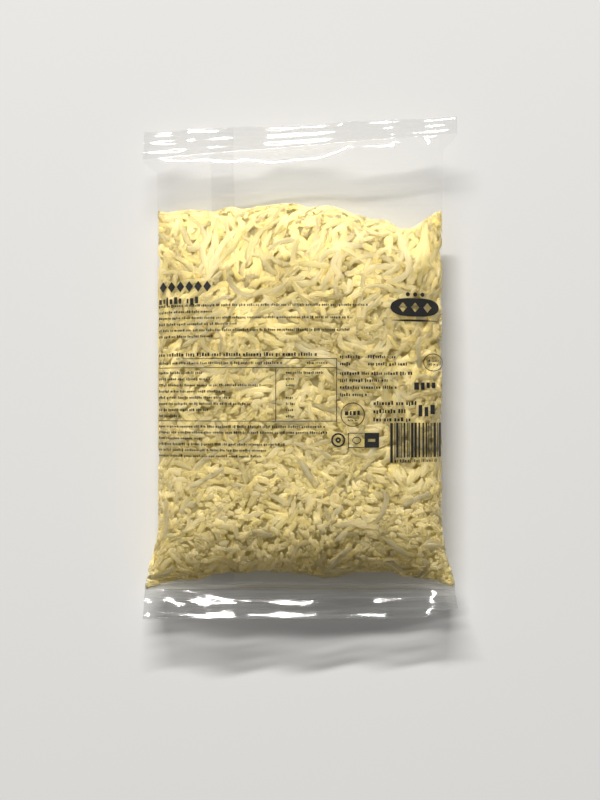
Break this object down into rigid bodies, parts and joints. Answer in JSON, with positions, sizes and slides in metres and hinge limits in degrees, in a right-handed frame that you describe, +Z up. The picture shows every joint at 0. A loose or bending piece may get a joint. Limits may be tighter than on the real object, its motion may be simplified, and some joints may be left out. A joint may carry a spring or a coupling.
{
  "type": "bag of grated cheese",
  "caption": "Sealed clear pillow bag of pale yellow grated cheese lying on its back, its front domed by the shreds, with a flat seal across either end.",
  "frame": {"origin": "on the table, under the middle of the bag's box", "axes": "+X across the bag to its right as the print faces up, +Y along it towards the top seal, +Z up from the table"},
  "size_m": [0.136, 0.2176, 0.0308],
  "materials": {
    "cheese": "pale yellow grated cheese, slightly moist and translucent",
    "film": "thin clear glossy film, creased at the seals",
    "ink": "flat black print on the film"
  },
  "bodies": {
    "root": {"bag": "cheese"}
  },
  "joints": []
}
